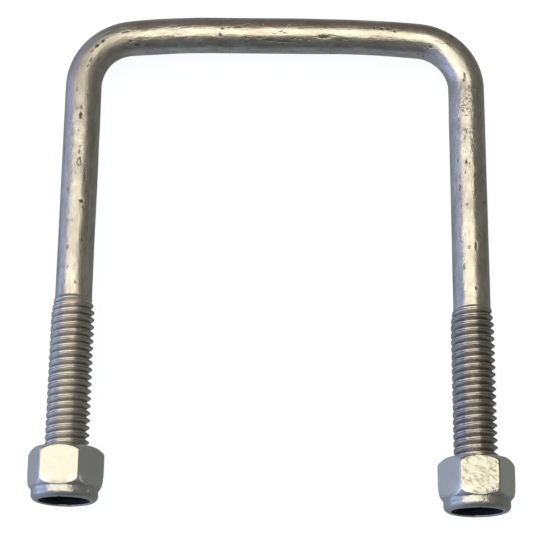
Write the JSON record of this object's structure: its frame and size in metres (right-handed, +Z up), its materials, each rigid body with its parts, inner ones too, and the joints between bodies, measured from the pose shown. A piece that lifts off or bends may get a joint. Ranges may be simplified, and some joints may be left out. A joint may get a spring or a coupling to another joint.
{
  "type": "square-bend u-bolt",
  "caption": "Square-bend U-bolt of bent round bar with a threaded end on each leg and nylon-insert lock nuts, for clamping a bracket or plate round a rectangular beam.",
  "frame": {"origin": "bottom centre of the assembly's box as it lies flat, under the middle of the space between the legs, at the level of the left nut's lowest corner", "axes": "+X from the left leg to the right, +Y along the legs towards the crown, +Z up, square to the plane of the bend"},
  "size_m": [0.1027, 0.113, 0.0149],
  "materials": {
    "galvanised_bar": "hot-dip galvanised, satin, faintly mottled with dark pits",
    "plated_nut": "zinc plated, semi-bright, with small forging dents",
    "nylon": "moulded nylon, near-black blue, slightly glossy"
  },
  "bodies": {
    "u_bolt": {"u_bolt": "galvanised_bar"},
    "insert_left": {"nylon_insert_left": "nylon"},
    "nut_left": {"nut_left": "plated_nut"},
    "insert_right": {"nylon_insert_right": "nylon"},
    "nut_right": {"nut_right": "plated_nut"}
  },
  "joints": [
    {"name": "left_nut_travel", "type": "slide", "parent": "u_bolt", "child": "insert_left", "axis": [0, 1, 0], "range_m": [-0.00953, 0.03016]},
    {"name": "left_nut_turn", "type": "hinge", "parent": "insert_left", "child": "nut_left", "pos_m": [-0.04317, 0, 0.00744], "axis": [0, 1, 0], "range_deg": [-2165, 6845]},
    {"name": "right_nut_travel", "type": "slide", "parent": "u_bolt", "child": "insert_right", "axis": [0, 1, 0], "range_m": [-0.00794, 0.03016]},
    {"name": "right_nut_turn", "type": "hinge", "parent": "insert_right", "child": "nut_right", "pos_m": [0.04317, 0, 0.00744], "axis": [0, 1, 0], "range_deg": [-1805, 6845]}
  ],
  "couplings": [
    {"joint": "left_nut_turn", "follows": "left_nut_travel", "rad_per_m": 3957.9},
    {"joint": "right_nut_turn", "follows": "right_nut_travel", "rad_per_m": 3957.9}
  ]
}
